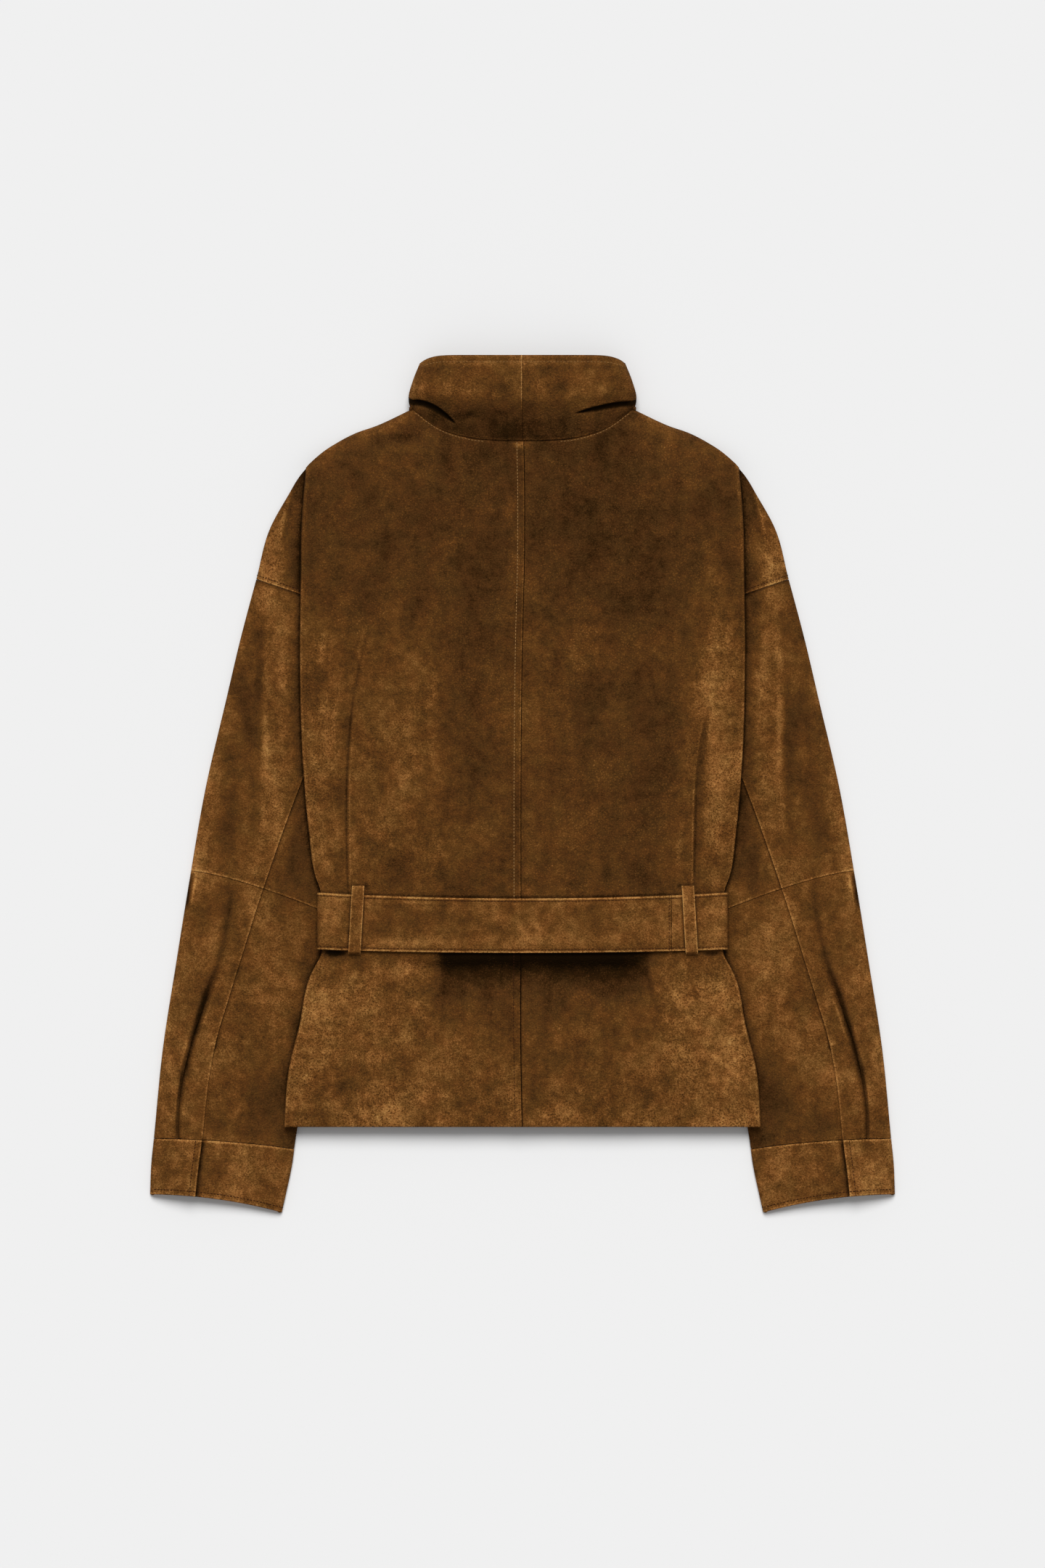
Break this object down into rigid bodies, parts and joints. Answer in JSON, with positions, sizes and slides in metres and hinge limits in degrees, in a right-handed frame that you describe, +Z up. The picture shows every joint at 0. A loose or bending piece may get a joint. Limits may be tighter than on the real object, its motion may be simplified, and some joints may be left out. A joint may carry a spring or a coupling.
{
  "type": "belted suede jacket",
  "caption": "Hip-length suede jacket with a high funnel collar, dropped shoulders, pleated cuffed sleeves and a belt in loops, laid face down and flat.",
  "frame": {"origin": "middle of the jacket's box, on the surface that it lies on", "axes": "+X towards the wearer's right, +Y from the hem to the collar, +Z up from the surface to the jacket's back"},
  "size_m": [0.667, 0.7669, 0.0295],
  "materials": {
    "suede_back": "napped brown suede, darker across the shoulders",
    "suede_front": "napped brown suede, hidden fronts",
    "suede_sleeve": "napped brown suede with pores",
    "suede_collar": "napped brown suede, two layers stitched",
    "suede_belt": "napped brown suede, two layers stitched, light raw edges",
    "antique_brass": "dull brushed brass"
  },
  "bodies": {
    "root": {"back_left": "suede_back", "back_right": "suede_back", "front_left": "suede_front", "front_right": "suede_front", "sleeve_upper_outer_left": "suede_sleeve", "sleeve_upper_inner_left": "suede_sleeve", "sleeve_lower_outer_left": "suede_sleeve", "sleeve_lower_inner_left": "suede_sleeve", "sleeve_upper_outer_right": "suede_sleeve", "sleeve_upper_inner_right": "suede_sleeve", "sleeve_lower_outer_right": "suede_sleeve", "sleeve_lower_inner_right": "suede_sleeve", "cuff_left": "suede_sleeve", "cuff_right": "suede_sleeve", "collar_left": "suede_collar", "collar_right": "suede_collar", "belt_long": "suede_belt", "belt_short": "suede_belt", "belt_loop_left": "suede_belt", "belt_loop_right": "suede_belt", "belt_buckle": "antique_brass"}
  },
  "joints": []
}
